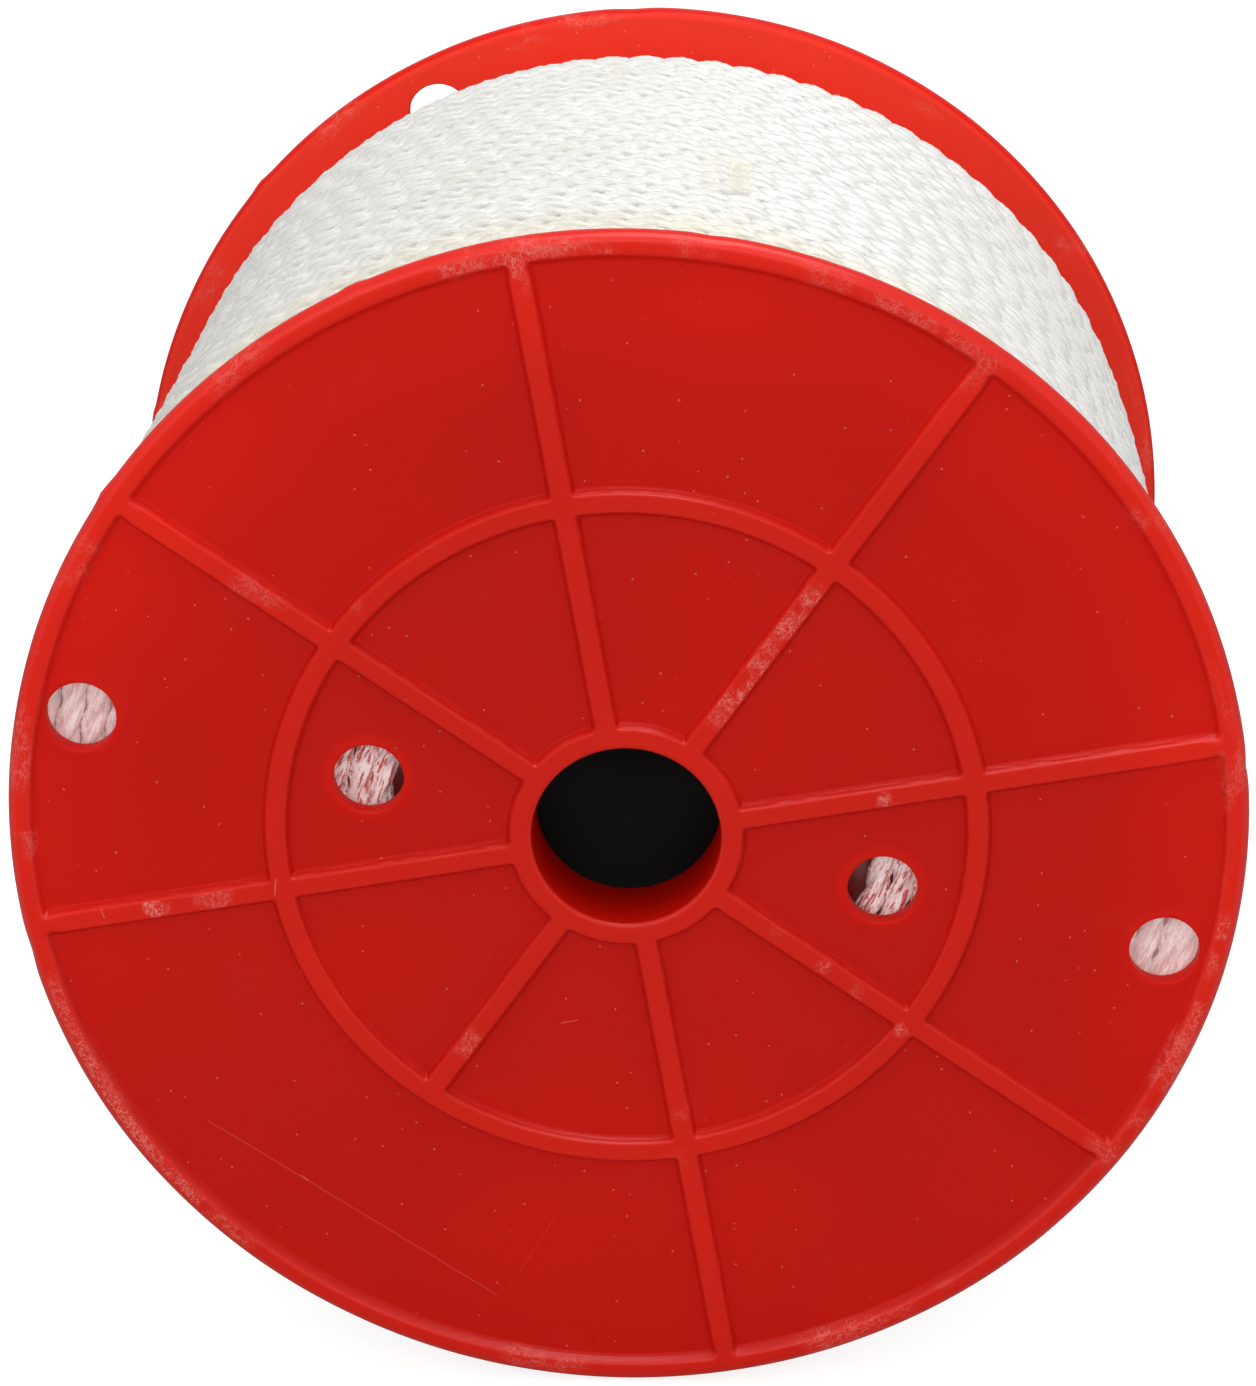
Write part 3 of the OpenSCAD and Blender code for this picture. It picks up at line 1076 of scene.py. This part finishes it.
def strand_outline(s, given):
    """Three strands pressed together, seen end on: a three-lobed outline that keeps its places."""
    even = {"Resolution": OUTLINE_POINTS, "Radius": 1.0}
    outline = s.node("GeometryNodeCurvePrimitiveCircle", even, mode="RADIUS")
    number = s.node("GeometryNodeInputIndex").outputs[0]
    angle = s.times(number, 2 * math.pi / OUTLINE_POINTS)
    lobe = s.minus(s.math("FLOORED_MODULO", s.plus(angle, STRAND / 2), STRAND), STRAND / 2)
    sharp = s.math("POWER", s.math("DIVIDE", s.math("ABSOLUTE", lobe), STRAND / 2), 2.2)
    soft = s.times(s.minus(1.0, s.math("COSINE", s.times(lobe, 3.0))), 0.5)
    fall = s.plus(s.times(sharp, 0.35), s.times(soft, 0.65))
    radius = s.times(s.minus(1.0, s.times(fall, given["Groove"])), given["Cord Diameter"], 0.5)
    where = s.joined(*(s.times(s.math(part, angle), radius) for part in ("COSINE", "SINE")))
    shaped = s.node("GeometryNodeSetPosition", {"Geometry": outline.outputs[0], "Position": where})
    return keep_vector(s, shaped.outputs[0], "round_strand", where)


def keep_vector(s, geometry, name, value):
    """Geometry with a vector stored on its points."""
    inputs = {"Geometry": geometry, "Name": name, "Value": value}
    return s.node(
        "GeometryNodeStoreNamedAttribute", inputs, data_type="FLOAT_VECTOR", domain="POINT",
    ).outputs[0]


def kept_vector(s, name):
    """A vector that was stored."""
    kept = s.node("GeometryNodeInputNamedAttribute", {"Name": name}, data_type="FLOAT_VECTOR")
    return kept.outputs[0]


@shared(
    "Laid Cord", "GeometryNodeTree",
    [("Path", "Geometry", None), ("Cord Diameter", "Float", 0.0023),
     ("Lay Length", "Float", 0.00973), ("Steps per Lay", "Int", 12), ("Lay Phase", "Float", 0.0),
     ("Lay Drift", "Float", 9.0), ("Groove", "Float", 0.36), ("Material", "Material", None)],
    [("Cord", "Geometry")],
)
def cord_tree(s, given):
    """Geometry Nodes that lay three strands along a path."""
    step = s.math("DIVIDE", given["Lay Length"], given["Steps per Lay"])
    spaced = {"Curve": given["Path"], "Length": step}
    path = s.node("GeometryNodeResampleCurve", spaced, mode="LENGTH")
    upright = s.node("GeometryNodeSetCurveNormal", {"Curve": path.outputs[0]}, mode="Z_UP")
    along = s.node("GeometryNodeSplineParameter").outputs["Length"]
    turns = s.times(s.math("DIVIDE", along, given["Lay Length"]), 2 * math.pi)
    slack = s.node(
        "ShaderNodeTexNoise", {"W": s.times(along, 7.0), "Scale": 1.0, "Detail": 1.0},
        noise_dimensions="1D",
    )
    drift = s.times(s.minus(slack.outputs["Fac"], 0.5), given["Lay Drift"])
    twist = s.plus(turns, drift, given["Lay Phase"])
    tilted = s.node("GeometryNodeSetCurveTilt", {"Curve": upright.outputs[0], "Tilt": twist})
    swept = s.node("GeometryNodeCurveToMesh", {
        "Curve": keep_vector(s, tilted.outputs[0], "run", s.joined(along, twist)),
        "Profile Curve": strand_outline(s, given), "Fill Caps": True,
    })
    # filaments lie nearly along the cord, because the strands are twisted the other way
    run = s.split(kept_vector(s, "run"))
    unwound = s.node(
        "ShaderNodeVectorRotate",
        {"Vector": kept_vector(s, "round_strand"), "Angle": s.times(run[1], 0.8)},
        rotation_type="Z_AXIS",
    )
    lengthwise = s.joined(z=s.times(run[0], 120.0))
    flow = s.vector("ADD", s.scaled(unwound.outputs[0], 3000.0), lengthwise)
    cord = keep_vector(s, swept.outputs[0], "strand_flow", flow)
    for kind, extra in (
        ("GeometryNodeSetShadeSmooth", {}), ("GeometryNodeRealizeInstances", {}),
        ("GeometryNodeSetMaterial", {"Material": given["Material"]}),
    ):
        cord = s.node(kind, {"Geometry": cord, **extra}).outputs[0]
    return {"Cord": cord}


def set_input(modifier, name, value):
    """Sets a modifier's input by its socket's identifier."""
    for item in modifier.node_group.interface.items_tree:
        if item.item_type == "SOCKET" and item.in_out == "INPUT" and item.name == name:
            modifier[item.identifier] = value
            return
    raise ValueError(f"the tree has no input named {name}")


def lay_cord(name, points, look, material, phase):
    """A mesh of laid cord along points given round Z, in millimetres, turned to the reel's axis."""
    curve = bpy.data.curves.new(name + "_path", "CURVE")
    curve.dimensions = "3D"
    spline = curve.splines.new("POLY")
    spline.points.add(len(points) - 1)
    spline.points.foreach_set("co", np.c_[points * MM, np.ones(len(points))].ravel())
    holder = bpy.data.objects.new(name + "_path", curve)
    bpy.context.scene.collection.objects.link(holder)
    modifier = holder.modifiers.new("Laid Cord", "NODES")
    modifier.node_group = cord_tree()
    for label, value in (
        ("Cord Diameter", look.diameter), ("Lay Length", look.lay), ("Steps per Lay", look.samples),
        ("Lay Phase", phase), ("Groove", look.groove), ("Material", material),
    ):
        set_input(modifier, label, value)
    graph = bpy.context.evaluated_depsgraph_get()
    mesh = bpy.data.meshes.new_from_object(holder.evaluated_get(graph), depsgraph=graph)
    holder.modifiers.clear()
    bpy.data.objects.remove(holder)
    bpy.data.curves.remove(curve)
    if len(mesh.polygons) == 0:
        raise RuntimeError(f"{name} came out empty")
    mesh.name = name
    mesh.transform(ONTO_AXIS)
    mesh.update()
    return mesh


def waves(seed, count, low, high):
    """Seeded slow waves: (times round, phase, drift along the reel, share)."""
    rng = np.random.default_rng(seed)
    return [
        (
            int(rng.integers(low, high + 1)), rng.uniform(0, 2 * math.pi), rng.uniform(-0.05, 0.05),
            rng.uniform(0.5, 1.0) / count,
        )
        for _ in range(count)
    ]


def ripple(rows, angle, along):
    """Sum of those waves at an angle and a place along the reel."""
    return sum(size * np.sin(n * angle + phase + drift * along) for n, phase, drift, size in rows)


def crown(look, along):
    """Outer radius of the winding at a place along the reel, in millimetres."""
    drop = np.where(along < 0, look.front_drop, look.rear_drop) / MM
    inside = STRING_HALF / MM - np.abs(along)
    return STRING_RADIUS / MM - drop * (1 - np.clip(inside / (look.shoulder_width / MM), 0, 1)) ** 2


def bulge(angle, along):
    """How far the turns stand out at the reel's two sides, in millimetres, most at the front."""
    left, right = np.clip(-np.cos(angle), 0, 1), np.clip(np.cos(angle), 0, 1)
    place = along / (STRING_HALF / MM)
    last = smoothstep(-along, 34.0, 40.0)
    proud = LEFT_BULGE * left * np.clip((0.5 - place) / 1.5, 0, 1)
    return proud + right * np.clip(0.4 - place, 0, 1) * (RIGHT_BULGE + LAST_BULGE * last)


def round_axis(radius, angle, along):
    """Points round Z from radii, angles and places along it."""
    return np.c_[radius * np.cos(angle), -radius * np.sin(angle), along]


def string_path(look, first, last):
    """Places of the outermost turns between two turn counts, round Z, in millimetres."""
    cord = look.diameter / MM
    half = STRING_HALF / MM - cord / 2
    turns = np.linspace(first, last, int((last - first) * TURN_STEPS) + 1)
    angle = 2 * math.pi * turns
    along = half - look.pitch / MM * turns
    free = 1 - (np.abs(along) / half) ** 6
    sway = look.sway / MM * ripple(waves(*SWAY_WAVES), angle, along) * free
    rise = look.unevenness / MM * ripple(waves(*RISE_WAVES), angle, along)
    jitter = 0.1 * np.sin(turns * 2 * math.pi * 5.37 + 1.0) * np.sin(turns * 2 * math.pi * 0.31)
    radius = crown(look, along) - cord / 2 + rise + jitter + bulge(angle, along)
    return round_axis(radius, angle, along + sway)


def end_path(look, front):
    """Places of the turns that lie against one flange."""
    side, drop = (-1, look.front_drop) if front else (1, look.rear_drop)
    step, cord = look.layer_step / MM, look.diameter / MM
    low = CORE_RADIUS / MM + cord / 2 + CORE_ROOM
    high = (STRING_RADIUS - drop) / MM - cord / 2 - 0.3 * step
    turns = np.linspace(0, (high - low) / step, int((high - low) / step * END_STEPS))
    angle = -side * 2 * math.pi * turns
    radius = low + step * turns + 0.12 * np.sin(3 * angle + turns)
    slack = 0.25 * (1 + np.sin(5 * angle + 2 * turns)) / 2
    along = side * (STRING_HALF / MM - cord / 2 - FLANGE_ROOM - slack)
    radius = radius + bulge(angle, along) * (turns / turns[-1]) ** 2
    return round_axis(radius, angle, along)


def string_layers(look):
    """The turns under the outermost ones, as one closed ridged ring, round Y, in metres."""
    pitch, low = look.pitch / MM, CORE_RADIUS / MM + CORE_ROOM
    half = STRING_HALF / MM - LAYERS_SHORT
    along = np.linspace(-half, half, int(2 * half / pitch) * 6 + 1)
    ridge = RIDGE * np.abs(np.sin(math.pi * along / pitch))
    radius = crown(look, along) - look.diameter / MM / 2 - LAYERS_DEEP + ridge
    shell = Shell()
    shell.lathe([(low, -half), *zip(radius, along), (low, half), (low, -half)], 128)
    return shell.mesh("string_layers", ONTO_AXIS @ Matrix.Scale(MM, 4), sharp=50.0)


class STRINGREEL_OT_string(Operator):
    """Winds the cord: outermost turns, turns against each flange, and the layers under them"""

    bl_idname = "string_reel.string"
    bl_label = "String"

    def execute(self, context):
        look = context.scene.string_reel_string
        material = laid_string("string_white", look)
        total = (2 * STRING_HALF - look.diameter) / look.pitch
        run = 0.0
        lots = []
        for i, third in enumerate(("rear", "middle", "front")):
            points = string_path(look, total * i / 3, total * (i + 1) / 3)
            lots.append(("string_turns_" + third, points, 2 * math.pi * run / (look.lay / MM)))
            run += np.linalg.norm(np.diff(points, axis=0), axis=1).sum()
        for end in ("front", "rear"):
            lots.append(("string_end_" + end, end_path(look, end == "front"), 0.0))
        for name, points, phase in lots:
            mesh = lay_cord(name, points, look, material, phase)
            new_piece(name, mesh, None, ["string_winding"])
        new_piece("string_layers", string_layers(look), material, ["string_winding"])
        return {"FINISHED"}


# ---------------------------------------------------------------- tape

# Steps along and across the tape, its height over the winding, and how far it sags and lifts
TAPE_ROWS, TAPE_COLUMNS = 61, 17
TAPE_HEIGHT, TAPE_SAG, TAPE_LIFT = 0.1, 0.09, 0.1


def tape_mesh(look, string):
    """A thin closed strip that follows the turns, its ends lifting a little."""
    middle = math.atan2(TAPE_LOW.z + TAPE_HIGH.z, TAPE_LOW.x + TAPE_HIGH.x)
    width = (TAPE_HIGH.x - TAPE_LOW.x) / MM
    first_turn = (STRING_HALF - string.diameter / 2) / MM
    grid = []
    for layer in (0.0, look.thickness / MM):
        for a in np.linspace(TAPE_LOW.y / MM, TAPE_HIGH.y / MM, TAPE_ROWS):
            wave = math.cos(2 * math.pi * (a - first_turn) / (string.pitch / MM))
            sag = TAPE_SAG * (1 - wave) / 2
            for b in np.linspace(-0.5, 0.5, TAPE_COLUMNS):
                lift = TAPE_LIFT * (2 * b) ** 4 * (1 + math.sin(a * 1.3)) / 2
                radius = crown(string, np.array([a]))[0] + TAPE_HEIGHT - sag + lift + layer
                angle = middle - b * width / radius
                grid.append((radius * math.cos(angle), a, radius * math.sin(angle)))
    lot = TAPE_ROWS * TAPE_COLUMNS
    number = np.arange(lot).reshape(TAPE_ROWS, TAPE_COLUMNS)
    faces = []
    corners = (number[:-1, :-1], number[:-1, 1:], number[1:, 1:], number[1:, :-1])
    for a, b, c, d in zip(*(corner.ravel() for corner in corners)):
        faces += [(a, b, c, d), (lot + d, lot + c, lot + b, lot + a)]
    edge = [*number[0], *number[1:, -1], *number[-1, -2::-1], *number[-2:0:-1, 0]]
    faces += [(b, a, lot + a, lot + b) for a, b in zip(edge, edge[1:] + edge[:1])]
    shell = Shell()
    shell.add(grid, faces)
    return shell.mesh("end_tape_strip", Matrix.Scale(MM, 4), tolerance=1e-5)


class STRINGREEL_OT_tape(Operator):
    """Sticks the short strip of clear tape over the cord's end"""

    bl_idname = "string_reel.tape"
    bl_label = "End tape"

    def execute(self, context):
        look = context.scene.string_reel_tape
        mesh = tape_mesh(look, context.scene.string_reel_string)
        new_piece("end_tape_strip", mesh, clear_tape("aged_tape", look), ["end_tape"])
        return {"FINISHED"}


# ---------------------------------------------------------------- stage

# Places and sizes of the two lamps, in metres; both face the reel
KEY_LAMP = ((0.06, -0.03, 0.47), (0.34, 0.22))
FILL_LAMP = ((-0.12, -0.95, 0.42), (1.2, 0.9))
# Half of the floor's width, its gap under the rims, and how bright it looks by itself
FLOOR_REACH, FLOOR_GAP, FLOOR_GLOW = 6.0, 0.0002, 0.78
WHITE = (1.0, 1.0, 1.0, 1.0)


def aimed(name, data, place, direction):
    """A lamp or camera at a place, facing in a direction."""
    made = bpy.data.objects.new(name, data)
    made.location = place
    made.rotation_mode = "QUATERNION"
    made.rotation_quaternion = Vector(direction).to_track_quat("-Z", "Y")
    bpy.context.scene.collection.objects.link(made)
    return made


def area_lamp(name, place, size, energy):
    """A soft lamp that faces the reel."""
    lamp = bpy.data.lights.new(name, "AREA")
    lamp.shape = "RECTANGLE"
    lamp.size, lamp.size_y = size
    lamp.energy = energy
    aimed(name, lamp, place, -Vector(place))


class STRINGREEL_OT_stage(Operator):
    """Sets the floor, lamps, sky and camera"""

    bl_idname = "string_reel.stage"
    bl_label = "Stage"

    def execute(self, context):
        look = context.scene.string_reel_stage
        scene = context.scene
        scene.view_settings.view_transform = "Standard"
        self.camera(scene, look)
        self.floor(look)
        self.sky(scene, look)
        area_lamp("key_lamp", *KEY_LAMP, look.key_power)
        area_lamp("fill_lamp", *FILL_LAMP, look.fill_power)
        return {"FINISHED"}

    def camera(self, scene, look):
        """The camera, level and a little above the reel."""
        data = bpy.data.cameras.new("camera")
        data.lens = look.lens
        data.clip_start, data.clip_end = 0.01, 50.0
        scene.camera = aimed("camera", data, look.camera_place, look.camera_aim)

    def floor(self, look):
        """A wide pale floor just under the rims, which keeps the reel's shadow."""
        low = -FLANGE_RADIUS - FLOOR_GAP
        signs = ((-1, -1), (1, -1), (1, 1), (-1, 1))
        corners = [(x * FLOOR_REACH, y * FLOOR_REACH, low) for x, y in signs]
        mesh = bpy.data.meshes.new("floor")
        mesh.from_pydata(corners, [], [(0, 1, 2, 3)])
        material = bpy.data.materials.new("floor_paper")
        s = cleared(material)
        tone = s.range(s.noise(s.place(), 0.3, 3.0, 0.6), 0.3, 0.7, 0.985, 1.0)
        tinted = s.scaled(look.floor_colour[:], tone)
        paper = s.node("ShaderNodeBsdfPrincipled", {"Base Color": tinted, "Roughness": 0.9})
        seen = s.node("ShaderNodeLightPath").outputs["Is Camera Ray"]
        glow = s.node("ShaderNodeEmission", {"Color": WHITE, "Strength": s.times(seen, FLOOR_GLOW)})
        both = s.node("ShaderNodeAddShader", {0: paper.outputs[0], 1: glow.outputs[0]})
        s.node("ShaderNodeOutputMaterial", {"Surface": both.outputs[0]})
        made = bpy.data.objects.new("floor", mesh)
        mesh.materials.append(material)
        bpy.context.scene.collection.objects.link(made)

    def sky(self, scene, look):
        """Even light from all round, seen as white."""
        world = bpy.data.worlds.new("sky")
        s = cleared(world)
        seen = s.node("ShaderNodeLightPath").outputs["Is Camera Ray"]
        strength = s.range(seen, 0.0, 1.0, look.sky, 1.0, smooth=False)
        background = s.node("ShaderNodeBackground", {"Color": WHITE, "Strength": strength})
        s.node("ShaderNodeOutputWorld", {"Surface": background.outputs[0]})
        scene.world = world


# ---------------------------------------------------------------- add-on


class STRINGREEL_PT_panel(Panel):
    """Lists the reel's builders and their settings"""

    bl_idname = "STRINGREEL_PT_panel"
    bl_label = "String Reel"
    bl_space_type = "VIEW_3D"
    bl_region_type = "UI"
    bl_category = "String Reel"

    def draw(self, context):
        for group, operator in PIECES:
            box = self.layout.box()
            box.operator(operator.bl_idname, text=operator.bl_label)
            if group is not None:
                settings = getattr(context.scene, group)
                for name in settings.bl_rna.properties.keys():
                    if name not in ("rna_type", "name"):
                        box.prop(settings, name)


GROUPS = (
    ("string_reel_flange", StringReelFlange),
    ("string_reel_string", StringReelString),
    ("string_reel_tape", StringReelTape),
    ("string_reel_stage", StringReelStage),
)
PIECES = (
    ("string_reel_stage", STRINGREEL_OT_stage),
    ("string_reel_flange", STRINGREEL_OT_flanges),
    (None, STRINGREEL_OT_core),
    ("string_reel_string", STRINGREEL_OT_string),
    ("string_reel_tape", STRINGREEL_OT_tape),
)
CLASSES = [c for _, c in GROUPS] + [c for _, c in PIECES] + [STRINGREEL_PT_panel]


def register():
    """Registers the settings, operators and panel."""
    for cls in CLASSES:
        bpy.utils.register_class(cls)
    for name, cls in GROUPS:
        setattr(bpy.types.Scene, name, PointerProperty(type=cls))


def unregister():
    """Removes them again."""
    for name, _ in GROUPS:
        delattr(bpy.types.Scene, name)
    for cls in reversed(CLASSES):
        bpy.utils.unregister_class(cls)


def main():
    """Builds every piece in order."""
    register()
    for _, operator in PIECES:
        getattr(bpy.ops.string_reel, operator.bl_idname.split(".")[1])()


if __name__ == "__main__":
    main()
